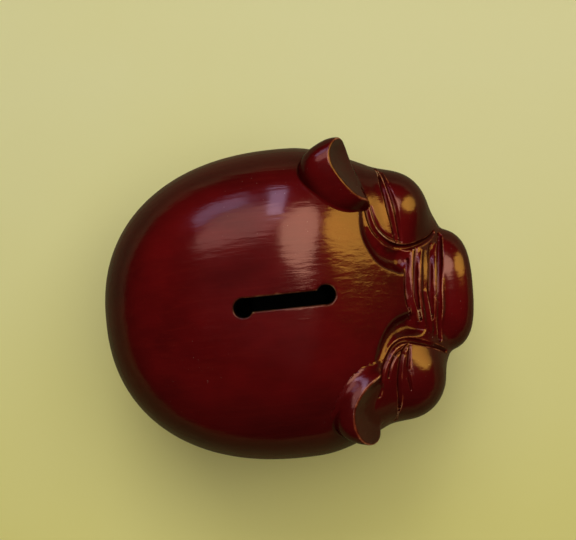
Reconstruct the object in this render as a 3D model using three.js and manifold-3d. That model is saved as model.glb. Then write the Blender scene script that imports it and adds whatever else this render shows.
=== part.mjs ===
// A carved wooden pig money bank: an egg-shaped hollow body in two glued shells, with a blunt
// snout, scoop-shaped ears, a curled tail and four short feet on felt pads. Coins go in through a
// sawn slot in the back and come out through a rubber stopper in the belly.
//
// Millimetres. The pig faces -Y, its left side is +X, up is +Z, and z = 0 is the surface it
// stands on.

import * as THREE from "three";
import { mergeVertices } from "three/addons/utils/BufferGeometryUtils.js";
import Module from "manifold-3d";

const wasm = await Module();
wasm.setup();

// ---------------------------------------------------------------- driving dimensions

const GAP = 0.3; // clearance between pieces that touch

const BODY = {
  halfWidth: 51.2,
  rump: 60, // from the middle back to the rump
  front: 55.5, // from the middle forward to the face, without the snout
  widest: 46, // height of the widest section
  up: 44, // from the widest section up to the back
  down: 38, // from the widest section down to the belly
  foreheadDrop: 0.22, // share of `up` lost towards the forehead
  power: 2.25, // squareness in plan, where 2 is an ellipse
  upperPower: 3, // squareness from the side, above the widest height
  wall: 10,
};

// The sloping plane that the face is cut to, in front of the forehead.
const BROW = { normal: new THREE.Vector3(0, -0.64, 0.768), distance: 78.2 };

const CHEEK = { side: 26, forward: 34, height: 54, across: 16, along: 13.5, upward: 17 };

const SNOUT = {
  halfWidth: 21.4,
  halfHeight: 16.5,
  halfLength: 18.4,
  forward: 42, // its middle, forward of the body's middle
  height: 45.5,
  sectionPower: 2.4,
  endPower: 3, // above 2, so the end is blunt
};

const NOSTRIL = { spread: 7.5, radius: 2.4, depth: 5 };

const SEAM_HEIGHT = 27; // the glue line between the upper and the lower shell

const SLOT = {
  width: 4.4,
  length: 24.4, // between the centres of the two drilled ends
  endRadius: 2.9,
  middle: new THREE.Vector2(0.5, 1.5),
  endOffset: 0.7, // the ends were drilled this far to either side of the saw line
};

// Each ear is a dome with a steep hollow scooped down its front. In an ear's own axes x runs level
// along its base, y backwards and z up, and `lean` lifts the dome along x, towards the tip.
const EAR = {
  slant: 0.42, // how far the hollow's face comes forward for each millimetre down
  slantTop: 9,
  spigotRadius: 3,
  spigotDepth: 6,
  spigotReach: 1.3, // how far above the skin the stem goes on, up into the ear
};
const EARS = [
  {
    name: "ear_left",
    centre: new THREE.Vector3(35, -18.5, 76.5),
    heading: THREE.MathUtils.degToRad(34.8),
    lean: 0.3,
    dome: new THREE.Vector3(11.5, 10.5, 11),
    front: 6.4,
    scoop: new THREE.Vector3(12.5, 13, 28),
    scoopCentre: new THREE.Vector3(-3, -13.6, 15),
    spigotStart: new THREE.Vector3(1, -1.5, 8),
  },
  {
    name: "ear_right",
    centre: new THREE.Vector3(-30.6, -21.3, 76.5),
    heading: THREE.MathUtils.degToRad(-14.7),
    lean: -0.25,
    dome: new THREE.Vector3(12.8, 12, 11),
    front: 4.2,
    scoop: new THREE.Vector3(18, 22, 60),
    scoopCentre: new THREE.Vector3(0, -17.9, 15),
    spigotStart: new THREE.Vector3(-2, 4.5, 8),
  },
];

const TAIL = {
  back: 56, // the middle of the curl, behind the body's middle
  height: 26.8,
  lean: THREE.MathUtils.degToRad(30), // the rump leans in under the curl
  turn: Math.PI * 1.65,
  curlRadius: 4.2,
  radius: 1.8,
  spigotRadius: 1.5,
  spigotDepth: 6,
};

const FOOT = { bottomRadius: 8.5, topRadius: 12, coneTop: 24, spigotRadius: 4, spigotTop: 19.5 };
const FEET = [
  { name: "front_left", x: 24, y: -23 },
  { name: "front_right", x: -24, y: -23 },
  { name: "rear_left", x: 25, y: 28 },
  { name: "rear_right", x: -25, y: 28 },
];

const PAD = { radius: 7.5, thickness: 1.5 };

const STOPPER = {
  boreRadius: 15,
  neckTopRadius: 13.8,
  neckTop: 20.5,
  recessRadius: 18.2,
  recessTop: 10.2,
  flangeBottom: 7.6,
  gripHalfLength: 11,
  gripHalfWidth: 1.4,
  gripDrop: 3,
};

const DOWEL = { radius: 2, length: 7.4, boreLength: 8 };
const DOWELS = [
  { name: "dowel_left", x: 40, y: 3 },
  { name: "dowel_right", x: -40, y: 3 },
  { name: "dowel_front", x: 0, y: -43.4 },
  { name: "dowel_rear", x: 0, y: 47.3 },
];

// ---------------------------------------------------------------- solids

// A closed geometry, in place, as a solid that can be added to, cut or intersected.
function solid(geometry) {
  const bare = geometry.index ? geometry.toNonIndexed() : geometry.clone();
  bare.deleteAttribute("normal");
  bare.deleteAttribute("uv");
  const merged = mergeVertices(bare, 1e-4);
  return new wasm.Manifold(
    new wasm.Mesh({
      numProp: 3,
      vertProperties: new Float32Array(merged.attributes.position.array),
      triVerts: new Uint32Array(merged.index.array),
    }),
  );
}

// A solid as a geometry, with its finest slivers merged away.
function geometryOf(made) {
  const mesh = made.simplify(0.01).getMesh();
  const geometry = new THREE.BufferGeometry();
  geometry.setAttribute("position", new THREE.BufferAttribute(mesh.vertProperties, 3));
  geometry.setIndex(new THREE.BufferAttribute(mesh.triVerts, 1));
  geometry.computeVertexNormals();
  return geometry;
}

// An upright cylinder or cone between two heights.
function upright(bottomRadius, topRadius, bottom, top, x = 0, y = 0, sides = 28) {
  const geometry = new THREE.CylinderGeometry(topRadius, bottomRadius, top - bottom, sides);
  geometry.rotateX(Math.PI / 2);
  geometry.translate(x, y, (bottom + top) / 2);
  return solid(geometry);
}

// A cylinder between two points.
function rod(from, to, radius, sides = 16) {
  const along = new THREE.Vector3().subVectors(to, from);
  const geometry = new THREE.CylinderGeometry(radius, radius, along.length(), sides);
  const turn = new THREE.Quaternion();
  turn.setFromUnitVectors(new THREE.Vector3(0, 1, 0), along.clone().normalize());
  geometry.applyQuaternion(turn);
  const middle = new THREE.Vector3().addVectors(from, to).multiplyScalar(0.5);
  geometry.translate(middle.x, middle.y, middle.z);
  return solid(geometry);
}

function box(low, high) {
  const geometry = new THREE.BoxGeometry(high.x - low.x, high.y - low.y, high.z - low.z);
  const middle = new THREE.Vector3().addVectors(low, high).multiplyScalar(0.5);
  geometry.translate(middle.x, middle.y, middle.z);
  return solid(geometry);
}

// Everything above or below a height, as far as this object reaches.
function slab(bottom, top) {
  return box(new THREE.Vector3(-80, -80, bottom), new THREE.Vector3(80, 80, top));
}

// ---------------------------------------------------------------- the carved form

function smoothStep(t) {
  const s = Math.min(1, Math.max(0, t));
  return s * s * (3 - 2 * s);
}

// A level is below 1 inside a form and above 1 outside it. `inset` is how far inside the skin.
function eggLevel(p, inset) {
  const drop = 1 - BODY.foreheadDrop * smoothStep((5 - p.y) / BODY.front);
  const reach = p.y > 0 ? BODY.rump : BODY.front;
  const rise = p.z > BODY.widest ? BODY.up * drop : BODY.down;
  const across = Math.abs(p.x) / (BODY.halfWidth - inset);
  const along = Math.abs(p.y) / (reach - inset);
  const upward = Math.abs(p.z - BODY.widest) / (rise - inset);
  const n = BODY.power;
  const m = p.z > BODY.widest ? BODY.upperPower : n;
  const section = (across ** n + along ** n) ** (1 / n);
  return (section ** m + upward ** m) ** (1 / m);
}

function browLevel(p, inset) {
  return p.dot(BROW.normal) / (BROW.distance - inset);
}

function cheekLevel(p, inset) {
  const across = (Math.abs(p.x) - CHEEK.side) / (CHEEK.across - inset);
  const along = (-p.y - CHEEK.forward) / (CHEEK.along - inset);
  const upward = (p.z - CHEEK.height) / (CHEEK.upward - inset);
  return Math.hypot(across, along, upward);
}

function headLevel(p, inset) {
  return Math.min(Math.max(eggLevel(p, inset), browLevel(p, inset)), cheekLevel(p, inset));
}

function snoutLevel(p, inset) {
  const across = Math.abs(p.x) / (SNOUT.halfWidth - inset);
  const upward = Math.abs(p.z - SNOUT.height) / (SNOUT.halfHeight - inset);
  const along = Math.abs(-p.y - SNOUT.forward) / (SNOUT.halfLength - inset);
  const section = (across ** SNOUT.sectionPower + upward ** SNOUT.sectionPower) ** (1 / SNOUT.sectionPower);
  return (section ** SNOUT.endPower + along ** SNOUT.endPower) ** (1 / SNOUT.endPower);
}

// The surface where level(point, inset) is 1, reached from `centre` along the rays of a sphere.
function ballooned(level, centre, detail, inset = 0) {
  const sphere = new THREE.IcosahedronGeometry(1, detail);
  const position = sphere.attributes.position;
  const direction = new THREE.Vector3();
  const point = new THREE.Vector3();
  const reach = 100;
  for (let i = 0; i < position.count; i += 1) {
    direction.fromBufferAttribute(position, i).normalize();
    let near = 0;
    let far = reach;
    for (let step = 0; step < 40; step += 1) {
      const middle = (near + far) / 2;
      point.copy(centre).addScaledVector(direction, middle);
      if (level(point, inset) < 1) near = middle;
      else far = middle;
    }
    point.copy(centre).addScaledVector(direction, near);
    position.setXYZ(i, point.x, point.y, point.z);
  }
  return solid(sphere);
}

const bodyCentre = new THREE.Vector3(0, 0, BODY.widest);
const snoutCentre = new THREE.Vector3(0, -SNOUT.forward, SNOUT.height);

// The whole carved form, grown by `growth` so that its neighbours can be trimmed clear of it.
function carvedForm(growth = 0) {
  const head = ballooned(headLevel, bodyCentre, 8, -growth);
  return head.add(ballooned(snoutLevel, snoutCentre, 4, -growth));
}

// The height of the skin above or below a place, going out from the widest section.
function skinHeight(x, y, side) {
  let near = 0;
  let far = 60;
  for (let step = 0; step < 40; step += 1) {
    const middle = (near + far) / 2;
    const inside = headLevel(new THREE.Vector3(x, y, BODY.widest + side * middle), 0) < 1;
    if (inside) near = middle;
    else far = middle;
  }
  return BODY.widest + side * near;
}

// ---------------------------------------------------------------- holes

function coinSlot() {
  const half = SLOT.length / 2;
  const reach = BODY.widest + BODY.up + 5;
  const depth = BODY.wall + 10;
  const cut = box(
    new THREE.Vector3(-SLOT.width / 2, -half, reach - depth),
    new THREE.Vector3(SLOT.width / 2, half, reach),
  );
  const front = upright(SLOT.endRadius, SLOT.endRadius, reach - depth, reach, SLOT.endOffset, -half);
  const rear = upright(SLOT.endRadius, SLOT.endRadius, reach - depth, reach, -SLOT.endOffset, half);
  return cut.add(front).add(rear).translate([SLOT.middle.x, SLOT.middle.y, 0]);
}

function nostrils() {
  const tipY = -(SNOUT.forward + SNOUT.halfLength);
  return [-1, 1]
    .map((side) =>
      rod(
        new THREE.Vector3(side * NOSTRIL.spread, tipY + NOSTRIL.depth, SNOUT.height + 1),
        new THREE.Vector3(side * NOSTRIL.spread, tipY - 5, SNOUT.height + 1),
        NOSTRIL.radius,
      ),
    )
    .reduce((all, one) => all.add(one));
}

function dowelBores() {
  const bottom = SEAM_HEIGHT - DOWEL.boreLength / 2;
  const top = SEAM_HEIGHT + DOWEL.boreLength / 2;
  const radius = DOWEL.radius + GAP;
  return DOWELS.map(({ x, y }) => upright(radius, radius, bottom, top, x, y, 12)).reduce((all, one) =>
    all.add(one),
  );
}

// ---------------------------------------------------------------- ears, tail and feet

// An ear's axes: along its base, backwards and up.
function earAxes(ear) {
  const along = new THREE.Vector3(Math.cos(ear.heading), Math.sin(ear.heading), 0);
  const up = new THREE.Vector3(0, 0, 1);
  return { along, back: new THREE.Vector3().crossVectors(up, along), up };
}

function ellipsoid(radii, centre, frame) {
  const geometry = new THREE.IcosahedronGeometry(1, 5);
  geometry.scale(radii.x, radii.y, radii.z);
  geometry.translate(centre.x, centre.y, centre.z);
  geometry.applyMatrix4(frame);
  return solid(geometry);
}

// The stem that holds an ear, from `spigotStart` over its root to inside the wall.
function earSpigot(ear, radius, depth) {
  const { along, back, up } = earAxes(ear);
  const outer = ear.spigotStart.clone();
  outer.applyMatrix4(new THREE.Matrix4().makeBasis(along, back, up).setPosition(ear.centre));
  const inward = bodyCentre.clone().sub(outer).normalize();
  let skin = 0;
  while (headLevel(outer.clone().addScaledVector(inward, skin), 0) > 1) skin += 0.1;
  return rod(outer, outer.clone().addScaledVector(inward, skin + depth), radius);
}

function earSolid(ear, trimmer, stemLimit) {
  const { along, back, up } = earAxes(ear);
  const leaning = new THREE.Matrix4().makeBasis(along.clone().addScaledVector(up, ear.lean), back, up);
  const dome = ellipsoid(ear.dome, new THREE.Vector3(), leaning.setPosition(ear.centre));
  const slanting = new THREE.Matrix4().makeBasis(along, back, up.clone().addScaledVector(back, EAR.slant));
  slanting.setPosition(ear.centre.clone().addScaledVector(back, -EAR.slant * EAR.slantTop));
  const scoop = ellipsoid(ear.scoop, ear.scoopCentre, slanting);
  const front = new THREE.BoxGeometry(60, 40, 80);
  front.translate(0, -ear.front - 20, 0);
  front.applyMatrix4(new THREE.Matrix4().makeBasis(along, back, up).setPosition(ear.centre));
  return dome
    .subtract(scoop)
    .subtract(solid(front))
    .subtract(trimmer)
    .intersect(slab(60, 120))
    .add(earSpigot(ear, EAR.spigotRadius, EAR.spigotDepth).intersect(stemLimit));
}

// Most of a turn of a tapering curl that hangs against the rump, from its root downwards.
class TailCurve extends THREE.Curve {
  getPoint(t, target = new THREE.Vector3()) {
    const angle = Math.PI / 2 + t * TAIL.turn;
    const radius = TAIL.curlRadius * (1 - 0.35 * t);
    const up = radius * Math.sin(angle);
    return target.set(
      radius * Math.cos(angle),
      TAIL.back + up * Math.sin(TAIL.lean),
      TAIL.height + up * Math.cos(TAIL.lean),
    );
  }
}

// The stem that holds the tail, straight into the wall from the top of the curl.
function tailSpigot(radius, depth) {
  const root = new TailCurve().getPoint(0);
  let skin = 0;
  while (headLevel(new THREE.Vector3(0, root.y - skin, root.z), 0) > 1) skin += 0.1;
  return rod(root, new THREE.Vector3(0, root.y - skin - depth, root.z), radius, 12);
}

function tailSolid(trimmer) {
  const section = new THREE.Shape().absarc(0, 0, TAIL.radius, 0, Math.PI * 2);
  const curl = new THREE.ExtrudeGeometry(section, {
    steps: 20,
    curveSegments: 5,
    bevelEnabled: false,
    extrudePath: new TailCurve(),
  });
  return solid(curl).subtract(trimmer).add(tailSpigot(TAIL.spigotRadius, TAIL.spigotDepth));
}

function footSolid({ x, y }, trimmer) {
  const bottom = PAD.thickness + GAP;
  const cone = upright(FOOT.bottomRadius, FOOT.topRadius, bottom, FOOT.coneTop, x, y);
  const spigot = upright(FOOT.spigotRadius, FOOT.spigotRadius, bottom + 2, FOOT.spigotTop, x, y, 20);
  return cone.subtract(trimmer).intersect(slab(0, BODY.widest)).add(spigot);
}

function footBores() {
  const radius = FOOT.spigotRadius + GAP;
  return FEET.map(({ x, y }) => upright(radius, radius, 0, FOOT.spigotTop + GAP, x, y, 20)).reduce(
    (all, one) => all.add(one),
  );
}

// ---------------------------------------------------------------- shells and stopper

function upperShell(form, cavity) {
  let shell = form.subtract(cavity).intersect(slab(SEAM_HEIGHT + GAP / 2, 120));
  shell = shell.subtract(coinSlot()).subtract(nostrils()).subtract(dowelBores());
  for (const ear of EARS) {
    shell = shell.subtract(earSpigot(ear, EAR.spigotRadius + GAP, EAR.spigotDepth + GAP));
  }
  return shell.subtract(tailSpigot(TAIL.spigotRadius + GAP, TAIL.spigotDepth + GAP));
}

function lowerShell(form, cavity) {
  const outlet = upright(STOPPER.boreRadius, STOPPER.boreRadius, 0, 30);
  const recess = upright(STOPPER.recessRadius, STOPPER.recessRadius, 0, STOPPER.recessTop);
  return form
    .subtract(cavity)
    .intersect(slab(-10, SEAM_HEIGHT - GAP / 2))
    .subtract(outlet)
    .subtract(recess)
    .subtract(footBores())
    .subtract(dowelBores());
}

function stopperGeometry() {
  const neckRadius = STOPPER.boreRadius - GAP;
  const flangeRadius = STOPPER.recessRadius - 2 * GAP;
  const flangeTop = STOPPER.recessTop - GAP;
  const profile = [
    [0, STOPPER.flangeBottom],
    [flangeRadius - 0.8, STOPPER.flangeBottom],
    [flangeRadius, STOPPER.flangeBottom + 0.8],
    [flangeRadius, flangeTop],
    [neckRadius, flangeTop],
    [STOPPER.neckTopRadius, STOPPER.neckTop - 1],
    [STOPPER.neckTopRadius - 1, STOPPER.neckTop],
    [0, STOPPER.neckTop],
  ].map(([radius, height]) => new THREE.Vector2(radius, height));
  const plug = new THREE.LatheGeometry(profile, 28);
  plug.rotateX(Math.PI / 2);
  const grip = box(
    new THREE.Vector3(-STOPPER.gripHalfLength, -STOPPER.gripHalfWidth, STOPPER.flangeBottom - STOPPER.gripDrop),
    new THREE.Vector3(STOPPER.gripHalfLength, STOPPER.gripHalfWidth, STOPPER.flangeBottom + 1),
  );
  return geometryOf(solid(plug).add(grip));
}

// ---------------------------------------------------------------- the scene

const lacquer = new THREE.MeshStandardMaterial({ color: 0x5a1220, roughness: 0.18, metalness: 0 });
const bareWood = new THREE.MeshStandardMaterial({ color: 0xb9854f, roughness: 0.7, metalness: 0 });
const rubber = new THREE.MeshStandardMaterial({ color: 0x1b1a1a, roughness: 0.6, metalness: 0 });
const felt = new THREE.MeshStandardMaterial({ color: 0x2f3a2c, roughness: 1, metalness: 0 });

const pig = new THREE.Group();

function place(name, geometry, material, x = 0, y = 0, z = 0) {
  const mesh = new THREE.Mesh(geometry, material);
  mesh.name = name;
  mesh.position.set(x, y, z);
  pig.add(mesh);
}

const form = carvedForm();
const trimmer = carvedForm(GAP);
const stemLimit = carvedForm(EAR.spigotReach);
const cavity = ballooned(eggLevel, bodyCentre, 5, BODY.wall);

place("upper_shell", geometryOf(upperShell(form, cavity)), lacquer);
place("lower_shell", geometryOf(lowerShell(form, cavity)), lacquer);
for (const ear of EARS) place(ear.name, geometryOf(earSolid(ear, trimmer, stemLimit)), lacquer);
place("tail", geometryOf(tailSolid(trimmer)), lacquer);

const padGeometry = new THREE.CylinderGeometry(PAD.radius, PAD.radius, PAD.thickness, 28);
padGeometry.rotateX(Math.PI / 2);
for (const foot of FEET) {
  place("foot_" + foot.name, geometryOf(footSolid(foot, trimmer)), lacquer);
  place("felt_pad_" + foot.name, padGeometry, felt, foot.x, foot.y, PAD.thickness / 2);
}

const dowelGeometry = new THREE.CylinderGeometry(DOWEL.radius, DOWEL.radius, DOWEL.length, 12);
dowelGeometry.rotateX(Math.PI / 2);
for (const { name, x, y } of DOWELS) place(name, dowelGeometry, bareWood, x, y, SEAM_HEIGHT);

place("stopper", stopperGeometry(), rubber);

export default pig;
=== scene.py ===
"""A carved and lacquered wooden pig money bank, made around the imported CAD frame.

The forms are fields: functions that are negative inside the wood and positive outside, in
millimetres, in the frame's own axes (the pig faces -Y, its left side is +X, up is +Z). Each field
is meshed, and the mesh is pulled exactly onto the field and refined where the carving is fine.
"""

import math

import bpy
import numpy as np
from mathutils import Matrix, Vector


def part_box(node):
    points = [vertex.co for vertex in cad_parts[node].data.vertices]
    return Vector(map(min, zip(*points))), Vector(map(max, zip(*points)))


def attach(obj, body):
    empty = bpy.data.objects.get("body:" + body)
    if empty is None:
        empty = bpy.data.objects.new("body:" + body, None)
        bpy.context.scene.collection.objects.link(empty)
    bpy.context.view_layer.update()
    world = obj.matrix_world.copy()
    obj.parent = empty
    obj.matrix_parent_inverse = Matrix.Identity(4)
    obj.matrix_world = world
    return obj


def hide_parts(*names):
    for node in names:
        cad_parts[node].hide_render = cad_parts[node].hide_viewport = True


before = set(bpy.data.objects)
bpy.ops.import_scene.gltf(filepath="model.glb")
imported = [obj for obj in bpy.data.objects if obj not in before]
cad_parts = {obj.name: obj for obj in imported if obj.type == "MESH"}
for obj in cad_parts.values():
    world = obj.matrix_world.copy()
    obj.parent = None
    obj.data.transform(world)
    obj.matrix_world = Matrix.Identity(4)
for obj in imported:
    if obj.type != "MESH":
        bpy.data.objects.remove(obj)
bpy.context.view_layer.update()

import openvdb
from mathutils import Vector

MM = 0.001


def node_box(name):
    """The lowest and highest corner of a CAD node, in millimetres."""
    low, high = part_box(name)
    return np.array(low) / MM, np.array(high) / MM


# ---------------------------------------------------------------- the frame's own sizes, in mm

SHELL_LOW, SHELL_HIGH = node_box("upper_shell")
BELLY_LOW, BELLY_HIGH = node_box("lower_shell")
STOPPER_LOW, STOPPER_HIGH = node_box("stopper")

# The body. RUMP and FRONT are its reach behind and before its middle, and WIDEST is the height of
# its widest section. Its sides lie a millimetre inside the CAD shell's, as the photo shows them.
HALF_WIDTH = SHELL_HIGH[0] - 1.0
RUMP = SHELL_HIGH[1]
FRONT = 55.5
BACK = SHELL_HIGH[2] + 0.1
SEAM = (SHELL_LOW[2] + BELLY_HIGH[2]) / 2
UNDERSIDE = 8.0
WIDEST = 46.0
FOREHEAD_DROP = 0.22
HEAD_NARROWING = 0.05
POWER = 2.25
UPPER_POWER = 3.0
WALL = 10.0

# The head: the sloping plane of the face, the eye bulges, the block of the nose between them and
# the disc of the snout.
BROW_NORMAL = (0.0, -0.64, 0.768)
BROW_DISTANCE = 78.2
EYE_SPREAD = 25.6
EYE_MIDDLE = (-1.0, -33.3, 55.5)
EYE_RADII = (15.0, 14.5, 17.5)
NOSE_MIDDLE = (-0.8, -39.2, 59.4)
NOSE_RADII = (13.2, 9.6, 9.2)
NOSE_TILT = math.radians(27.0)
SNOUT_MIDDLE = (-0.8, -42.0, 45.5)
SNOUT_HALF_WIDTH = 21.3
SNOUT_HALF_HEIGHT = 17.5
SNOUT_TIP = -SHELL_LOW[1]
SNOUT_TURN = math.radians(-2.0)

NOSTRIL_SPREAD = 7.5
NOSTRIL_HEIGHT = 46.5
NOSTRIL_RADIUS = 2.4
NOSTRIL_DEPTH = 5.0

STOPPER_BORE = 15.0
RECESS_RADIUS = 18.2
RECESS_TOP = 10.2
GRIP_HALF = (11.0, 1.4)
RIB_BOTTOM = 15.5
RIB_TOP = 17.0

FOOT_BOTTOM = 1.8
FOOT_BOTTOM_RADIUS = 8.5
FOOT_TAPER = 0.158
FEET = {
    "front_left": (24, -23),
    "front_right": (-24, -23),
    "rear_left": (25, 28),
    "rear_right": (-25, 28),
}
PAD_RADIUS = 7.5
PAD_THICKNESS = 1.5

TAIL_BACK = 56.0
TAIL_HEIGHT = 26.8
TAIL_LEAN = math.radians(30.0)
TAIL_TURN = math.pi * 1.65
TAIL_CURL = 4.2

SLOT_MIDDLE = (0.5, 1.5)
SLOT_WIDTH = 4.0
SLOT_LENGTH = 24.4
SLOT_BOTTOM = 70.0
SLOT_END_RADIUS = 2.8
SLOT_END_OFFSET = 0.7


# ---------------------------------------------------------------- field building blocks

def smooth_step(t):
    t = np.clip(t, 0.0, 1.0)
    return t * t * (3.0 - 2.0 * t)


def join(a, b, soft):
    """Both forms, blended over `soft` millimetres where they meet."""
    h = np.clip(0.5 + 0.5 * (b - a) / soft, 0.0, 1.0)
    return b + (a - b) * h - soft * h * (1.0 - h)


def common(a, b, soft):
    """What lies in both forms."""
    return -join(-a, -b, soft)


def cut(a, b, soft):
    """Form a with form b taken out of it."""
    return -join(-a, b, soft)


def ellipsoid(p, centre, radii, power=2.0):
    """An ellipsoid, or a squarer form where the power is over 2."""
    radii = np.array(radii)
    q = np.abs(p - np.array(centre)) / radii + 1e-9
    level = (q**power).sum(axis=1) ** (1.0 / power)
    slope = np.sqrt((((q / level[:, None]) ** (power - 1.0) / radii) ** 2).sum(axis=1))
    return (level - 1.0) / slope


def plane(p, normal, distance):
    """All that lies behind a plane."""
    return p @ np.array(normal) - distance


def upright(p, centre, radius, low, high, edge=0.0, taper=0.0):
    """An upright round bar from one height to another, with rounded edges."""
    across = np.hypot(p[:, 0] - centre[0], p[:, 1] - centre[1]) - radius - taper * (p[:, 2] - low) + edge
    upward = np.abs(p[:, 2] - (low + high) / 2) - (high - low) / 2 + edge
    outside = np.hypot(np.maximum(across, 0.0), np.maximum(upward, 0.0))
    return outside + np.minimum(np.maximum(across, upward), 0.0) - edge


def block(p, centre, half, edge):
    """A box with rounded edges."""
    q = np.abs(p - np.array(centre)) - np.array(half) + edge
    return np.linalg.norm(np.maximum(q, 0.0), axis=1) + np.minimum(q.max(axis=1), 0.0) - edge


def rooted(form, skin, fillet):
    """A form that stands on the body, with a fillet at its root, sunk a little into the skin."""
    filleted = join(form, skin + 0.15, fillet)
    filleted = common(filleted, form - fillet - 0.4, 0.3)
    return cut(filleted, skin + 0.6, 0.1)


def curve_through(points, steps=8):
    """A smooth (Catmull-Rom) line through a few points."""
    p = np.array(points, float)
    p = np.vstack([2 * p[0] - p[1], p, 2 * p[-1] - p[-2]])
    line = []
    for a, b, c, d in zip(p[:-3], p[1:-2], p[2:-1], p[3:]):
        for t in np.arange(steps) / steps:
            line.append(
                0.5 * (2 * b + (c - a) * t + (2 * a - 5 * b + 4 * c - d) * t**2
                       + (3 * b - a - 3 * c + d) * t**3)
            )
    line.append(p[-2])
    return np.array(line)


class Groove:
    """A line with a thickness that changes along it. Its distance is only worked out nearby."""

    def __init__(self, line, radii, margin=4.0):
        self.line = np.array(line)
        steps = np.linspace(0.0, 1.0, len(self.line))
        self.radii = np.interp(steps, np.linspace(0.0, 1.0, len(radii)), radii)
        self.low = self.line.min(axis=0) - max(radii) - margin
        self.high = self.line.max(axis=0) + max(radii) + margin
        self.margin = margin

    def distance(self, p):
        far = np.full(len(p), self.margin)
        near = np.flatnonzero(((p > self.low) & (p < self.high)).all(axis=1))
        if not len(near):
            return far
        q = p[near]
        best = np.full(len(q), self.margin)
        for a, b, ra, rb in zip(self.line[:-1], self.line[1:], self.radii[:-1], self.radii[1:]):
            ab = b - a
            t = np.clip((q - a) @ ab / (ab @ ab), 0.0, 1.0)
            gap = q - (a + t[:, None] * ab)
            best = np.minimum(best, np.sqrt((gap * gap).sum(axis=1)) - (ra + (rb - ra) * t))
        far[near] = best
        return far


# ---------------------------------------------------------------- the body, without its carving

def egg(p, inset=0.0):
    """The body: squarer from the side above its widest height, lower and narrower towards the head."""
    x, y, z = np.abs(p[:, 0]), p[:, 1], p[:, 2] - WIDEST
    drop = 1.0 - FOREHEAD_DROP * smooth_step((5.0 - y) / FRONT)
    a = HALF_WIDTH * (1.0 - HEAD_NARROWING * smooth_step((-5.0 - y) / 25.0)) - inset
    b = np.where(y > 0.0, RUMP, FRONT) - inset
    c = np.where(z > 0.0, (BACK - WIDEST) * drop, WIDEST - UNDERSIDE) - inset
    section = ((x / a) ** POWER + (np.abs(y) / b) ** POWER + 1e-9) ** (1.0 / POWER)
    upward = np.abs(z) / c + 1e-9
    power = np.where(z > 0.0, UPPER_POWER, POWER)
    level = (section**power + upward**power) ** (1.0 / power)
    outward = (section / level) ** (power - 1.0)
    slope_x = outward * (x / a / section) ** (POWER - 1.0) / a
    slope_y = outward * (np.abs(y) / b / section) ** (POWER - 1.0) / b
    slope_z = (upward / level) ** (power - 1.0) / c
    return (level - 1.0) / np.sqrt(slope_x**2 + slope_y**2 + slope_z**2)


def snout(p):
    """The blunt disc of the snout, turned a little out of line with the head."""
    x, y, z = (p - np.array(SNOUT_MIDDLE)).T
    across = x * math.cos(SNOUT_TURN) + y * math.sin(SNOUT_TURN)
    along = -x * math.sin(SNOUT_TURN) + y * math.cos(SNOUT_TURN)
    reach = SNOUT_TIP + SNOUT_MIDDLE[1]
    section = (np.abs(across) / SNOUT_HALF_WIDTH) ** 2.4 + (np.abs(z) / SNOUT_HALF_HEIGHT) ** 2.6
    section = (section + 1e-9) ** (1 / 2.5)
    level = (section**4 + (np.abs(along) / reach) ** 3.4) ** (1 / 3.7)
    return (level - 1.0) * 17.0


def plain_head(p):
    """Body, sloping face and the bulges of the eyes, before any groove is cut."""
    form = common(egg(p), plane(p, BROW_NORMAL, BROW_DISTANCE), 8.0)
    for side in (-1, 1):
        middle = np.array(EYE_MIDDLE) + (side * EYE_SPREAD, 0.0, 0.0)
        form = join(form, ellipsoid(p, middle, EYE_RADII, 2.1), 2.5)
    return form


def lift(points, field=plain_head, raise_by=0.0):
    """Points given in plan, put on top of a form (and raised by a little)."""
    plan = np.array(points, float)
    low, high = np.full(len(plan), 30.0), np.full(len(plan), 100.0)
    for _ in range(30):
        middle = (low + high) / 2
        inside = field(np.column_stack([plan, middle])) < 0.0
        low, high = np.where(inside, middle, low), np.where(inside, high, middle)
    return np.column_stack([plan, low + raise_by])


# ---------------------------------------------------------------- the carving on the face

def groove(points, radii, raise_by=0.0, field=plain_head, steps=16):
    return Groove(curve_through(lift(points, field, raise_by), steps), radii)


# The hollow channels that part the forehead from the eyes and run down beside the nose.
CHANNELS = [
    groove([(26.5, -25.6), (19.5, -26), (15.2, -27.9), (11.6, -31.2), (9.8, -36)],
           [1.0, 2.2, 3.4, 4.0], 1.2),
    groove([(-19.8, -25.4), (-15.8, -28), (-12.6, -31.2), (-11, -35), (-10.4, -39.5)],
           [1.0, 2.2, 3.2, 3.4], 1.0),
]


def nose(p):
    """The block of the nose, between the channels, which carries the wrinkles."""
    across = np.array([1.0, 0.03, 0.0])
    upward = np.array([0.0, math.cos(NOSE_TILT), math.sin(NOSE_TILT)])
    outward = np.array([0.0, -math.sin(NOSE_TILT), math.cos(NOSE_TILT)])
    q = (p - np.array(NOSE_MIDDLE)) @ np.column_stack([across, upward, outward])
    return ellipsoid(q, (0.0, 0.0, 0.0), NOSE_RADII, 3.0)


def face_form(p):
    """The head with its large forms, before any line is cut in it."""
    form = plain_head(p)
    for channel in CHANNELS:
        form = cut(form, channel.distance(p), 1.6)
    form = join(form, nose(p), 1.6)
    return join(form, snout(p), 1.2)


def line(points, radii, raise_by=0.0):
    return groove(points, radii, raise_by, face_form, 6)


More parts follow.
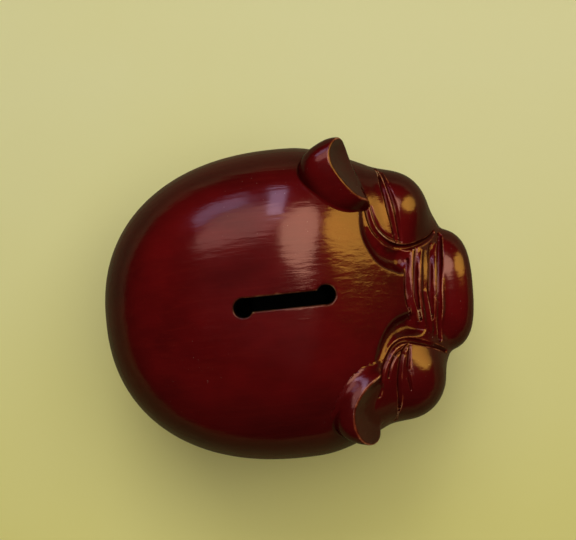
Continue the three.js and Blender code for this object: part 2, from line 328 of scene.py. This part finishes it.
# The creases that outline each eye bulge, and the lids of the closed eyes.
CREASES = [
    line([(33, -24.4), (28, -25.8), (22.3, -26.6), (18.7, -28), (15.2, -31.2), (13.5, -35), (13.4, -39.6),
          (15.3, -45.4), (17.6, -48.4)], [0.5, 0.8, 0.9, 0.9, 0.6]),
    line([(27.5, -27.4), (22.8, -28.3), (19.4, -29.8), (16.9, -32.4), (15.4, -35.6)], [0.3, 0.6, 0.6, 0.3]),
    line([(-31, -24), (-24.6, -25.4), (-20.7, -27.1), (-17.2, -29.6), (-15.5, -32.4), (-15.5, -35.4),
          (-16.7, -39.6), (-18.4, -44), (-20.8, -48.4)], [0.5, 0.8, 0.9, 0.9, 0.6]),
    line([(-25.6, -27.4), (-21.8, -28.8), (-19, -31), (-17.8, -34)], [0.3, 0.5, 0.3]),
]
LIDS = [
    line([(39.5, -31.4), (33.6, -32.2), (26.3, -33.1), (21, -33.9), (15.5, -34.6)], [0.3, 0.7, 0.7, 0.5]),
    line([(37.6, -33), (32.8, -34), (26.1, -35.3), (20.9, -35.8), (15.2, -36.2)], [0.3, 0.6, 0.7, 0.4]),
    line([(-16.5, -35.4), (-17.9, -33.4), (-22.3, -31.6), (-27.9, -30.7), (-34, -30.5), (-40.4, -29.1)],
         [0.4, 0.7, 0.7, 0.3]),
    line([(-17.3, -35.4), (-22.3, -34.3), (-25.6, -33.9), (-30.5, -34.3)], [0.4, 0.7, 0.3]),
]

# The folds across the nose, the cuts that part them, and the deep one behind the snout.
FOLDS = [
    line([(12.1, -39.8), (7.7, -38.7), (1.6, -38), (-2.9, -38), (-7.9, -39), (-11.7, -40)],
         [0.5, 0.9, 0.9, 0.5], -0.35),
    line([(12, -42.8), (7.4, -41.5), (-0.7, -40.4), (-6.4, -40.5), (-11.4, -41)],
         [0.5, 0.9, 0.9, 0.5], -0.35),
    line([(-1, -42.4), (-4.5, -43), (-8.4, -43.4), (-13.1, -43.6)], [0.3, 0.7, 0.4], -0.3),
    line([(13.5, -48.3), (8.8, -47), (-1.2, -45.7), (-9.3, -44.9), (-14.5, -45)],
         [0.4, 0.8, 0.8, 0.4], -0.3),
]
WRINKLES = [
    line([(9.5, -37.6), (6, -36.8), (0.6, -36.3), (-4.4, -36.3), (-9.1, -36.7)], [0.3, 0.8, 0.3]),
    line([(12.8, -41.3), (7.6, -40.1), (0.5, -39.2), (-4, -39.2), (-9.5, -40)], [0.4, 0.9, 0.9, 0.4]),
    line([(13.6, -46.6), (8.5, -45.5), (0, -44.2), (-5.5, -44), (-9.5, -43.9)], [0.4, 0.9, 0.9, 0.4]),
]
SNOUT_GROOVE = line([(16.5, -50.4), (7.2, -48.4), (-3.4, -47), (-16.5, -46.2)], [0.9, 1.5, 1.5, 0.9], -0.5)


def slot_field(p):
    """The sawn slot and its two drilled ends, drilled a little to either side of the saw line."""
    x, y = p[:, 0] - SLOT_MIDDLE[0], p[:, 1] - SLOT_MIDDLE[1]
    saw = np.maximum(np.abs(x) - SLOT_WIDTH / 2, np.abs(y) - SLOT_LENGTH / 2)
    front = np.hypot(x - SLOT_END_OFFSET, y + SLOT_LENGTH / 2) - SLOT_END_RADIUS
    rear = np.hypot(x + SLOT_END_OFFSET, y - SLOT_LENGTH / 2) - SLOT_END_RADIUS
    across = np.minimum(np.minimum(saw, front), rear)
    return np.maximum(across, SLOT_BOTTOM - p[:, 2])


def carved_head(p):
    """The whole outer skin, with its carving."""
    form = face_form(p)
    for fold in FOLDS:
        form = join(form, fold.distance(p), 0.9)
    for wrinkle in WRINKLES:
        form = cut(form, wrinkle.distance(p), 0.6)
    form = cut(form, SNOUT_GROOVE.distance(p), 0.6)
    for crease in CREASES + LIDS:
        form = cut(form, crease.distance(p), 0.5)
    return form


def nostrils(p):
    """Two drilled holes in the face of the snout, a little flared at the mouth."""
    depth = p[:, 1] + SNOUT_TIP
    aside = np.abs(p[:, 0] - SNOUT_MIDDLE[0]) - NOSTRIL_SPREAD
    across = np.hypot(aside, p[:, 2] - NOSTRIL_HEIGHT)
    return np.maximum(across - NOSTRIL_RADIUS, depth - NOSTRIL_DEPTH)


def cavity(p):
    """The hollow for the coins, which leaves a wall of even thickness."""
    return egg(p, WALL)


def upper_shell(p):
    form = cut(carved_head(p), slot_field(p), 0.7)
    form = cut(form, nostrils(p), 1.2)
    form = cut(form, cavity(p), 1.0)
    return common(form, SEAM + 0.05 - p[:, 2], 0.4)


def lower_shell(p):
    form = join(egg(p), snout(p), 1.2)
    form = cut(form, cavity(p), 1.0)
    form = cut(form, upright(p, (0.0, 0.0), STOPPER_BORE, -5.0, 40.0), 0.6)
    form = cut(form, upright(p, (0.0, 0.0), RECESS_RADIUS, -5.0, RECESS_TOP), 0.6)
    return common(form, p[:, 2] - SEAM + 0.05, 0.4)


# ---------------------------------------------------------------- ears

class Ear:
    """A blunt dome leaning towards its tip, with a steep hollow face along its front.

    Its own axes are: along, in plan from the root at the brow towards the tip, at the angle
    `heading` from +X; back, square to that, to the side `turn`; and up. `lean` lifts the dome
    towards the tip, `front` is how far forward of its middle it is cut off, and the hollow is a
    form of the given `scoop` radii and `power` that comes forward with SLANT on the way down.
    """

    SLANT = 0.42
    FRONT_NORMAL = (-0.2, -0.98, 0.0)

    def __init__(self, node, middle, heading, turn, lean, dome, front,
                 scoop_middle, scoop, power, fillet):
        self.node = node
        self.centre = np.array(middle, float)
        along = np.array((math.cos(heading), math.sin(heading), 0.0))
        back = np.array((-along[1] * turn, along[0] * turn, 0.0))
        self.axes = np.column_stack([along, back, (0.0, 0.0, 1.0)])
        self.lean, self.dome, self.front = lean, dome, front
        self.scoop_middle, self.scoop, self.power = scoop_middle, scoop, power
        self.fillet = fillet

    def form(self, p):
        q = (p - self.centre) @ self.axes
        leaning = q - np.outer(q[:, 0] * self.lean, (0.0, 0.0, 1.0))
        dome = ellipsoid(leaning, (0.0, 0.0, 0.0), self.dome, 2.5)
        dome = common(dome, plane(q, self.FRONT_NORMAL, self.front), 1.0)
        slanting = q + np.outer((9.0 - q[:, 2]) * self.SLANT, (0.0, 1.0, 0.0))
        return cut(dome, ellipsoid(slanting, self.scoop_middle, self.scoop, self.power), 0.8)

    def field(self, p):
        """The ear with a fillet at its root, sunk a little into the head."""
        return rooted(self.form(p), carved_head(p), self.fillet)


EARS = [
    Ear("ear_left", middle=(35.2, -18.2, 76.5), heading=math.radians(27.0), turn=1.0, lean=0.3,
        dome=(12.4, 11.0, 10.6), front=6.4,
        scoop_middle=(-1.6, -13.4, 15.0), scoop=(13.0, 12.7, 28.0), power=3.0, fillet=1.0),
    Ear("ear_right", middle=(-32.3, -20.9, 76.5), heading=math.radians(165.3), turn=-1.0, lean=0.25,
        dome=(12.6, 11.8, 10.6), front=3.4,
        scoop_middle=(2.5, -17.6, 15.0), scoop=(22.0, 22.0, 60.0), power=1.65, fillet=2.0),
]


# ---------------------------------------------------------------- tail, feet and stopper

def tail_line():
    """Most of a turn of a tapering curl, leaning in towards the rump, and its stem."""
    line = []
    for t in np.linspace(0.0, 1.0, 40):
        angle = math.pi / 2 + t * TAIL_TURN
        radius = TAIL_CURL * (1.0 - 0.35 * t)
        up = radius * math.sin(angle)
        line.append((radius * math.cos(angle), TAIL_BACK + up * math.sin(TAIL_LEAN),
                     TAIL_HEIGHT + up * math.cos(TAIL_LEAN)))
    root = np.array(line[0])
    return np.vstack([root + (-0.5, -8.0, 0.0), root + (-0.8, -3.0, 0.1), line])


TAIL = Groove(tail_line(), [2.3, 2.1, 1.8, 1.6, 1.3, 0.9])


def tail(p):
    return rooted(TAIL.distance(p), egg(p), 1.2)


def foot(place):
    """A short tapering foot with a rounded toe and a fillet at the belly."""
    def field(p):
        form = upright(p, place, FOOT_BOTTOM_RADIUS, FOOT_BOTTOM, 30.0, 1.4, FOOT_TAPER)
        return rooted(form, egg(p), 2.0)
    return field


def felt_pad(place):
    def field(p):
        return upright(p, place, PAD_RADIUS, 0.0, PAD_THICKNESS + 0.2, 0.5)
    return field


def stopper(p):
    """A rubber plug: a tapering neck, a flange that sits in the recess, and a bar to pull it by."""
    grip_bottom, neck_top = STOPPER_LOW[2], STOPPER_HIGH[2]
    flange_bottom = grip_bottom + 3.0
    neck_bottom = flange_bottom + 1.0
    axis = (0.0, 0.0)
    neck = upright(p, axis, STOPPER_BORE - 0.3, neck_bottom, neck_top, 1.0, -0.08)
    flange = upright(p, axis, STOPPER_HIGH[0], flange_bottom, RECESS_TOP - 0.3, 0.7)
    rib = upright(p, axis, STOPPER_BORE - 0.35, RIB_BOTTOM, RIB_TOP, 0.6)
    middle = (*axis, (grip_bottom + neck_bottom) / 2)
    half = (*GRIP_HALF, (neck_bottom - grip_bottom) / 2)
    form = join(join(neck, rib, 0.5), flange, 0.4)
    return join(form, block(p, middle, half, 1.0), 0.9)


# ---------------------------------------------------------------- from field to mesh

def gradient(field, p, step=0.05):
    """The field's value and its unit gradient, from four points around each point."""
    corners = np.array([(1, 1, 1), (1, -1, -1), (-1, 1, -1), (-1, -1, 1)], float)
    values = [field(p + corner * step) for corner in corners]
    slope = sum(value[:, None] * corner for value, corner in zip(values, corners)) / (4 * step)
    value = sum(values) / 4
    return value, slope


def pull_onto(field, p, rounds):
    """Moves points along the gradient onto the field's zero surface."""
    for _ in range(rounds):
        value, slope = gradient(field, p)
        size = (slope * slope).sum(axis=1) + 1e-6
        p = p - slope * np.clip(value / size, -0.8, 0.8)[:, None]
    return p


def unit(v):
    return v / (np.linalg.norm(v, axis=1)[:, None] + 1e-12)


def first_mesh(field, low, high, voxel):
    """The field's zero surface as triangles about a voxel across."""
    low, high = np.array(low) - 2 * voxel, np.array(high) + 2 * voxel
    counts = np.ceil((high - low) / voxel).astype(int) + 1
    axes = [low[i] + voxel * np.arange(counts[i]) for i in range(3)]
    lattice = np.stack(np.meshgrid(*axes, indexing="ij"), axis=-1).reshape(-1, 3)
    values = np.concatenate([field(part) for part in np.array_split(lattice, 8)])
    band = 3 * voxel
    grid = openvdb.FloatGrid(band)
    grid.copyFromArray(np.clip(values, -band, band).reshape(counts).astype(np.float32))
    grid.transform = openvdb.createLinearTransform(voxelSize=voxel)
    points, quads = grid.convertToQuads(0.0)
    points = points.astype(float) + low
    quads = quads.astype(int)
    short = np.linalg.norm(points[quads[:, 0]] - points[quads[:, 2]], axis=1)
    other = np.linalg.norm(points[quads[:, 1]] - points[quads[:, 3]], axis=1)
    split = (short <= other)[:, None]
    one = np.where(split, quads[:, [0, 1, 2]], quads[:, [0, 1, 3]])
    two = np.where(split, quads[:, [0, 2, 3]], quads[:, [1, 2, 3]])
    triangles = np.concatenate([one, two])
    return points, triangles


def split_edges(points, triangles, wanted):
    """Splits the edges that `wanted` picks, and each triangle beside them to match."""
    pairs = np.sort(triangles[:, [0, 1, 1, 2, 2, 0]].reshape(-1, 2), axis=1)
    edges, which = np.unique(pairs, axis=0, return_inverse=True)
    which = which.reshape(-1, 3)
    chosen = wanted(points, edges)
    middle_of = np.full(len(edges), -1)
    middle_of[chosen] = len(points) + np.arange(chosen.sum())
    new_points = (points[edges[chosen, 0]] + points[edges[chosen, 1]]) / 2
    middle = middle_of[which]
    count = (middle >= 0).sum(axis=1)
    parts = [triangles[count == 0]]
    # One edge split: turn each triangle so that it is the first edge.
    rows = np.flatnonzero(count == 1)
    shift = np.argmax(middle[rows] >= 0, axis=1)
    a, b, c = (triangles[rows, (shift + i) % 3] for i in range(3))
    m = middle[rows, shift]
    parts += [np.column_stack([a, m, c]), np.column_stack([m, b, c])]
    # Two edges split: turn each so that the whole edge is the last.
    rows = np.flatnonzero(count == 2)
    shift = (np.argmin(middle[rows] >= 0, axis=1) + 1) % 3
    a, b, c = (triangles[rows, (shift + i) % 3] for i in range(3))
    m, n = middle[rows, shift], middle[rows, (shift + 1) % 3]
    parts += [np.column_stack([m, b, n]), np.column_stack([a, m, n]), np.column_stack([a, n, c])]
    rows = np.flatnonzero(count == 3)
    a, b, c = triangles[rows].T
    m, n, o = middle[rows].T
    parts += [np.column_stack(t) for t in ((a, m, o), (m, b, n), (o, n, c), (m, n, o))]
    return np.concatenate([points, new_points]), np.concatenate(parts), len(points)


def sculpt(field, low, high, voxel, finest, bend, passes=4):
    """Meshes a field: an edge over which the surface bends more than `bend` degrees is split,
    until it is under `finest` millimetres long."""
    points, triangles = first_mesh(field, low, high, voxel)
    points = pull_onto(field, points, 3)
    for _ in range(passes):
        normals = unit(gradient(field, points)[1])

        def sharp(points, edges):
            one, two = edges.T
            length = np.linalg.norm(points[one] - points[two], axis=1)
            turn = (normals[one] * normals[two]).sum(axis=1)
            return (length > finest) & (turn < math.cos(math.radians(bend)))

        points, triangles, first_new = split_edges(points, triangles, sharp)
        if first_new == len(points):
            break
        points[first_new:] = pull_onto(field, points[first_new:], 2)
    return points, triangles


def mesh_object(name, points, triangles):
    mesh = bpy.data.meshes.new(name)
    mesh.vertices.add(len(points))
    mesh.vertices.foreach_set("co", (points * MM).astype(np.float32).ravel())
    mesh.loops.add(3 * len(triangles))
    mesh.loops.foreach_set("vertex_index", triangles.astype(np.int32).ravel())
    mesh.polygons.add(len(triangles))
    mesh.polygons.foreach_set("loop_start", np.arange(0, 3 * len(triangles), 3, dtype=np.int32))
    mesh.update(calc_edges=True)
    mesh.validate()
    mesh.polygons.foreach_set("use_smooth", np.ones(len(mesh.polygons), dtype=bool))
    thing = bpy.data.objects.new(name, mesh)
    bpy.context.scene.collection.objects.link(thing)
    return thing


def bend_at(field, points, normals, reach):
    """How sharply the surface bends at each point, in 1/mm: over 0 on ridges, under 0 in hollows."""
    spare = np.where(np.abs(normals[:, [2]]) < 0.8, [[0.0, 0.0, 1.0]], [[1.0, 0.0, 0.0]])
    one = unit(np.cross(normals, spare))
    two = np.cross(normals, one)
    around = sum(field(points + reach * side) for side in (one, two, -one, -two)) / 4
    return 2.0 * (around - field(points)) / reach**2


# The upward part of the surface's direction where the "side" mask starts, and where it is full.
SIDE_STARTS = 0.94
SIDE_FULL = 0.63


def mask(thing, name, values):
    """Stores a value from 0 to 1 at each vertex, under a name that a material can read."""
    layer = thing.data.attributes.new(name, "FLOAT", "POINT")
    layer.data.foreach_set("value", np.clip(values, 0.0, 1.0).astype(np.float32))


def piece(name, field, low, high, voxel, finest, material, node,
          body="bank", bend=8.0):
    """Sculpts a field as the piece that stands for a CAD node, with masks for its lacquer.

    "ridge" says where lacquer is worn, "hollow" where the surface is hollow (painted shade darkens it),
    "side" how far the surface turns down from level (painted shade down the sides), and "inside" where it
    is in the cavity or in the slot (painted near black as shade).
    """
    points, triangles = sculpt(field, low, high, voxel, finest, bend)
    normals = unit(gradient(field, points)[1])
    thing = mesh_object(name, points, triangles)
    fine = bend_at(field, points, normals, 0.45)
    broad = bend_at(field, points, normals, 1.6)
    mask(thing, "ridge", fine * 0.40 + broad * 0.15)
    mask(thing, "hollow", -fine * 0.35 - broad * 0.9)
    mask(thing, "side", smooth_step((SIDE_STARTS - normals[:, 2]) / (SIDE_STARTS - SIDE_FULL)))
    hole = np.minimum(np.abs(cavity(points)), np.abs(slot_field(points)))
    mask(thing, "inside", 1.0 - hole / 0.8)
    thing.data.materials.append(material)
    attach(thing, body)
    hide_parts(node)
    return thing


# ---------------------------------------------------------------- camera, with lengths in mm

CAMERA_ABOVE_WIDEST = 320.0
CAMERA_TURN = math.radians(6.0)
CAMERA_TILT = math.radians(1.95)
CAMERA_LENS = 59.5
CAMERA_LEFT = 0.65


def add_camera():
    """Straight above the pig, which it sees head to the right and a little turned."""
    right = Vector((-math.sin(CAMERA_TURN), -math.cos(CAMERA_TURN), 0.0))
    up = Vector((math.cos(CAMERA_TURN), -math.sin(CAMERA_TURN), 0.0))
    back = Vector((0.0, 0.0, 1.0))
    tilted_back = back * math.cos(CAMERA_TILT) - up * math.sin(CAMERA_TILT)
    tilted_up = up * math.cos(CAMERA_TILT) + back * math.sin(CAMERA_TILT)
    place = right * -CAMERA_LEFT + back * (WIDEST + CAMERA_ABOVE_WIDEST)
    data = bpy.data.cameras.new("camera")
    data.lens = CAMERA_LENS
    data.sensor_width = 36.0
    data.clip_start = 0.01
    camera = bpy.data.objects.new("camera", data)
    bpy.context.scene.collection.objects.link(camera)
    matrix = camera.matrix_world.copy()
    for column, direction in enumerate((right, tilted_up, tilted_back, place * MM)):
        for row in range(3):
            matrix[row][column] = direction[row]
    camera.matrix_world = matrix
    bpy.context.scene.camera = camera


# ---------------------------------------------------------------- materials

class Shader:
    """A node material being put together. Sockets are named; a value is a number, a colour or a link."""

    def __init__(self, name):
        self.material = bpy.data.materials.new(name)
        self.material.use_nodes = True
        self.tree = self.material.node_tree
        self.principled = self.tree.nodes["Principled BSDF"]
        self.where = self.node("ShaderNodeTexCoord").outputs["Object"]

    def feed(self, socket, value):
        if isinstance(value, bpy.types.NodeSocket):
            self.tree.links.new(value, socket)
        elif isinstance(value, tuple) and len(value) == 3 and socket.type == "RGBA":
            socket.default_value = (*value, 1.0)
        else:
            socket.default_value = value

    def node(self, kind, settings=None, **inputs):
        made = self.tree.nodes.new(kind)
        for key, value in (settings or {}).items():
            setattr(made, key, value)
        for key, value in inputs.items():
            self.feed(made.inputs[key.replace("_", " ")], value)
        return made

    def surface(self, **inputs):
        for key, value in inputs.items():
            self.feed(self.principled.inputs[key.replace("_", " ")], value)

    def noise(self, scale, detail=4.0, roughness=0.5, stretch=(1.0, 1.0, 1.0), distortion=0.0):
        """Noise between 0 and 1; scale is in cells per metre, stretched along the axes."""
        mapped = self.node("ShaderNodeMapping", Vector=self.where, Scale=stretch)
        made = self.node("ShaderNodeTexNoise", Vector=mapped.outputs[0], Scale=scale, Detail=detail,
                         Roughness=roughness, Distortion=distortion)
        return made.outputs["Fac"]

    def mask(self, name):
        return self.node("ShaderNodeAttribute", {"attribute_name": name}).outputs["Fac"]

    def ramp(self, value, low, high, to_low=0.0, to_high=1.0):
        made = self.node("ShaderNodeMapRange", Value=value)
        self.feed(made.inputs["From Min"], low)
        self.feed(made.inputs["From Max"], high)
        self.feed(made.inputs["To Min"], to_low)
        self.feed(made.inputs["To Max"], to_high)
        return made.outputs["Result"]

    def math(self, operation, a, b):
        made = self.tree.nodes.new("ShaderNodeMath")
        made.operation = operation
        self.feed(made.inputs[0], a)
        self.feed(made.inputs[1], b)
        return made.outputs[0]

    def mix(self, factor, a, b):
        made = self.tree.nodes.new("ShaderNodeMix")
        made.data_type = "RGBA"
        self.feed(made.inputs[0], factor)
        self.feed(made.inputs[6], a)
        self.feed(made.inputs[7], b)
        return made.outputs[2]

    def bump(self, height, strength, distance):
        made = self.node("ShaderNodeBump", Height=height, Strength=strength, Distance=distance)
        return made.outputs["Normal"]


def lacquer_colour(m, worn_thin, worn, streaks, grit):
    """Dark red over rubbed wood, with painted shade: darker down the sides, in the hollows and on the pig's
    right, and near black in the cavity and slot.
    """
    clouds = m.noise(45.0, 3.0, 0.5, (1.6, 1.0, 1.6))
    red = m.mix(m.ramp(clouds, 0.3, 0.7), (0.070, 0.0013, 0.0019), (0.125, 0.0024, 0.0032))
    red = m.mix(m.ramp(streaks, 0.50, 0.75, 0.0, 0.35), red, (0.14, 0.006, 0.004))
    # Painted shade: the lacquer turns near black towards the pig's right (-X) and down the sides, the sides
    # that face away from the light.
    across = m.node("ShaderNodeSeparateXYZ", Vector=m.where).outputs["X"]
    painted_shade_right = m.ramp(across, -0.008, -0.042, 0.0, 0.55)
    painted_shade = m.math("MAXIMUM", m.ramp(m.mask("side"), 0.0, 1.0, 0.0, 0.65), painted_shade_right)
    red = m.mix(painted_shade, red, (0.014, 0.0012, 0.0010))
    # Painted shade in the hollows: darker brown wherever the surface curves inwards.
    hollow = m.ramp(m.mask("hollow"), 0.15, 0.9, 0.0, 0.92)
    red = m.mix(hollow, red, (0.012, 0.004, 0.002))
    red = m.mix(m.ramp(worn_thin, 0.16, 0.34), red, (0.23, 0.045, 0.014))
    wood = m.mix(m.ramp(grit, 0.35, 0.65), (0.36, 0.20, 0.095), (0.56, 0.36, 0.19))
    colour = m.mix(worn, red, wood)
    specks = m.ramp(m.noise(1500.0, 2.0, 0.4), 0.74, 0.79, 0.0, 0.5)
    patches = m.ramp(m.noise(30.0, 2.0), 0.5, 0.62)
    colour = m.mix(m.math("MULTIPLY", specks, patches), colour, (0.42, 0.26, 0.20))
    # Painted shade: the cavity and the slot's walls are coloured near black.
    return m.mix(m.mask("inside"), colour, (0.010, 0.006, 0.004))


def lacquer_gloss(m, worn):
    """How much gloss coat is left: less where worn, down the sides and in hollows, none inside."""
    gloss = m.ramp(worn, 0.0, 1.0, 1.0, 0.45)
    gloss = m.math("MULTIPLY", gloss, m.ramp(m.mask("inside"), 0.0, 1.0, 1.0, 0.05))
    gloss = m.math("MULTIPLY", gloss, m.ramp(m.mask("side"), 0.0, 1.0, 1.0, 0.17))
    return m.math("MULTIPLY", gloss, m.ramp(m.mask("hollow"), 0.05, 0.45, 1.0, 0.2))


def lacquer_material():
    """Dark red gloss lacquer over carved wood: rubbed to the wood along its ridges."""
    m = Shader("lacquer")
    streaks = m.noise(55.0, 7.0, 0.6, (14.0, 1.0, 9.0), 0.4)
    grit = m.noise(900.0, 5.0, 0.65)
    rub = m.noise(240.0, 6.0, 0.65)
    worn_thin = m.math("ADD", m.mask("ridge"), m.ramp(rub, 0.3, 0.75, -0.18, 0.16))
    worn = m.ramp(worn_thin, 0.30, 0.52)
    carving = m.bump(m.math("ADD", streaks, m.math("MULTIPLY", grit, 0.3)), 0.35, 0.0003)
    brushed = m.noise(70.0, 4.0, 0.55, (9.0, 1.0, 6.0), 0.2)
    waves = m.math("MULTIPLY", m.noise(75.0, 2.0), 2.4)
    polish = m.bump(m.math("ADD", brushed, waves), 0.13, 0.0006)
    m.surface(Base_Color=lacquer_colour(m, worn_thin, worn, streaks, grit),
              Roughness=m.ramp(grit, 0.3, 0.7, 0.42, 0.58), Normal=carving, Specular_IOR_Level=0.0,
              Coat_Weight=lacquer_gloss(m, worn), Coat_Roughness=0.15, Coat_IOR=1.5, Coat_Normal=polish)
    return m.material


def bare_wood_material():
    """Pale wood with its grain upright, for the dowels inside."""
    m = Shader("bare_wood")
    grain = m.noise(120.0, 6.0, 0.6, (8.0, 8.0, 1.0), 0.3)
    colour = m.mix(m.ramp(grain, 0.35, 0.7), (0.42, 0.22, 0.10), (0.62, 0.38, 0.19))
    m.surface(Base_Color=colour, Roughness=m.ramp(grain, 0.3, 0.7, 0.6, 0.8),
              Normal=m.bump(grain, 0.4, 0.0003))
    return m.material


def rubber_material():
    """Black rubber with a little dust on it."""
    m = Shader("rubber")
    fine = m.noise(2500.0, 3.0, 0.6)
    dust = m.ramp(m.noise(150.0, 5.0, 0.6), 0.45, 0.75)
    colour = m.mix(dust, (0.012, 0.0115, 0.011), (0.035, 0.032, 0.030))
    m.surface(Base_Color=colour, Roughness=m.ramp(dust, 0.0, 1.0, 0.5, 0.72),
              Normal=m.bump(fine, 0.5, 0.00008))
    return m.material


def felt_material():
    """Dark green felt, tufted and fuzzy."""
    m = Shader("felt")
    fibres = m.noise(2600.0, 6.0, 0.75, distortion=1.5)
    tufts = m.noise(500.0, 4.0, 0.6)
    colour = m.mix(m.ramp(fibres, 0.35, 0.7), (0.020, 0.034, 0.018), (0.075, 0.10, 0.060))
    height = m.math("ADD", fibres, tufts)
    m.surface(Base_Color=colour, Roughness=0.95, Normal=m.bump(height, 0.9, 0.0004), Sheen_Weight=0.6,
              Sheen_Roughness=0.5)
    return m.material


def table_material():
    """A smooth yellow table top with painted light: paler on the pig's left, deeper yellow where shade
    falls on its right.
    """
    m = Shader("table")
    clouds = m.noise(6.0, 4.0, 0.5)
    fine = m.noise(400.0, 4.0, 0.6)
    across = m.node("ShaderNodeSeparateXYZ", Vector=m.where).outputs["X"]
    # Painted light and shade: the table is paler towards +X and deeper yellow towards -X.
    painted_light_across = m.math("ADD", m.ramp(across, -0.09, 0.09), m.ramp(clouds, 0.3, 0.7, -0.15, 0.15))
    colour = m.mix(painted_light_across, (0.80, 0.76, 0.26), (0.83, 0.82, 0.42))
    m.surface(Base_Color=colour, Roughness=m.ramp(fine, 0.3, 0.7, 0.55, 0.7),
              Normal=m.bump(fine, 0.05, 0.0002), Specular_IOR_Level=0.2)
    return m.material


# ---------------------------------------------------------------- light and table

def towards(azimuth, height):
    """The direction at an azimuth from +X (towards +Y) and a height above the table, in degrees."""
    azimuth, height = math.radians(azimuth), math.radians(height)
    level = math.cos(height)
    return Vector((math.cos(azimuth) * level, math.sin(azimuth) * level, math.sin(height)))


def area_light(name, azimuth, height, distance, size, radiance, colour,
               glossy=True, diffuse=True, shape="RECTANGLE"):
    """A light facing the pig; its distance and its size, across and up, are in metres."""
    data = bpy.data.lights.new(name, "AREA")
    data.shape = shape
    data.size, data.size_y = size
    data.energy = radiance * math.pi * size[0] * size[1]
    data.color = colour
    light = bpy.data.objects.new(name, data)
    bpy.context.scene.collection.objects.link(light)
    direction = towards(azimuth, height)
    light.location = direction * distance + Vector((0.0, 0.0, 0.06))
    light.rotation_euler = direction.to_track_quat("Z", "Y").to_euler()
    light.visible_glossy = glossy
    light.visible_diffuse = diffuse
    return light


def add_light():
    """Two broad lights that only light, then the room's windows and lamps, seen in the gloss only."""
    area_light("overhead", -35.0, 76.0, 1.3, (1.3, 1.3), 2.35, (1.0, 0.985, 0.93), glossy=False)
    area_light("daylight", 8.0, 50.0, 1.3, (0.70, 0.50), 3.2, (1.0, 0.985, 0.95), glossy=False)
    area_light("window", 22.0, 36.0, 1.1, (0.40, 0.26), 2.0, (0.85, 0.65, 1.0), diffuse=False)
    area_light("window_pane", -7.0, 42.0, 1.1, (0.20, 0.50), 3.6, (0.85, 0.65, 1.0), diffuse=False)
    area_light("lamp_glow", -71.0, 18.0, 1.1, (0.50, 0.95), 5.4, (1.0, 0.52, 0.08),
               diffuse=False, shape="ELLIPSE")
    area_light("lamp_wall", -48.0, 57.0, 1.1, (0.62, 0.75), 4.4, (1.0, 0.50, 0.34),
               diffuse=False, shape="ELLIPSE")
    area_light("ceiling", 16.0, 56.0, 1.1, (0.75, 0.45), 1.8, (1.0, 0.47, 0.40),
               diffuse=False, shape="ELLIPSE")


def add_world():
    """Pale behind the table for the camera, dark and warm in reflections."""
    world = bpy.data.worlds.new("room")
    bpy.context.scene.world = world
    world.use_nodes = True
    tree = world.node_tree
    background = tree.nodes["Background"]
    path = tree.nodes.new("ShaderNodeLightPath")
    mix = tree.nodes.new("ShaderNodeMix")
    mix.data_type = "RGBA"
    dark_room = (0.045, 0.022, 0.014, 1.0)
    pale_wall = (0.60, 0.54, 0.30, 1.0)
    mix.inputs[6].default_value = dark_room
    mix.inputs[7].default_value = pale_wall
    tree.links.new(path.outputs["Is Camera Ray"], mix.inputs[0])
    tree.links.new(mix.outputs[2], background.inputs["Color"])
    background.inputs["Strength"].default_value = 1.0


def add_table():
    half = 1.6
    mesh = bpy.data.meshes.new("table")
    corners = [(-half, -half, 0.0), (half, -half, 0.0), (half, half, 0.0), (-half, half, 0.0)]
    mesh.from_pydata(corners, [], [(0, 1, 2, 3)])
    table = bpy.data.objects.new("table", mesh)
    bpy.context.scene.collection.objects.link(table)
    mesh.materials.append(table_material())


# ---------------------------------------------------------------- the pig

def around(x, y, radius, low, high):
    """The corners of a box round an upright line."""
    return np.array([x - radius, y - radius, low]), np.array([x + radius, y + radius, high])


def build_pig():
    lacquer = lacquer_material()
    felt = felt_material()
    low, high = np.array(SHELL_LOW) - 0.5, np.array(SHELL_HIGH) + 0.5
    piece("shell_upper", upper_shell, low, high, voxel=1.15, finest=0.33, material=lacquer,
          node="upper_shell", bend=10.0)
    low, high = np.array(BELLY_LOW) - 2.0, np.array(BELLY_HIGH) + 0.5
    piece("shell_lower", lower_shell, low, high, voxel=1.4, finest=0.5, material=lacquer,
          node="lower_shell", bend=12.0)
    for ear in EARS:
        low, high = ear.centre - 18, ear.centre + 18
        piece("carved_" + ear.node, ear.field, low, high, voxel=0.8, finest=0.25, material=lacquer,
              node=ear.node)
    low, high = TAIL.low + 2.0, TAIL.high - 2.0
    piece("curled_tail", tail, low, high, voxel=0.6, finest=0.3, material=lacquer,
          node="tail")
    for name, place in FEET.items():
        low, high = around(*place, 14.0, 1.0, 32.0)
        piece("carved_foot_" + name, foot(place), low, high, voxel=1.0, finest=0.4, material=lacquer,
              node="foot_" + name)
        low, high = around(*place, 8.5, -0.5, 2.2)
        pad = piece("pad_" + name, felt_pad(place), low, high, voxel=0.5, finest=0.3, material=felt,
                    node="felt_pad_" + name)
    low, high = around(0.0, 0.0, 18.5, 4.0, 21.5)
    piece("plug", stopper, low, high, voxel=0.8, finest=0.3, material=rubber_material(),
          node="stopper", body="stopper")
    bare_wood = bare_wood_material()
    for side in ("left", "right", "front", "rear"):
        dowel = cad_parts["dowel_" + side]
        dowel.data.materials.clear()
        dowel.data.materials.append(bare_wood)


bpy.context.scene.view_settings.view_transform = "Standard"
add_camera()
add_world()
add_light()
add_table()
build_pig()
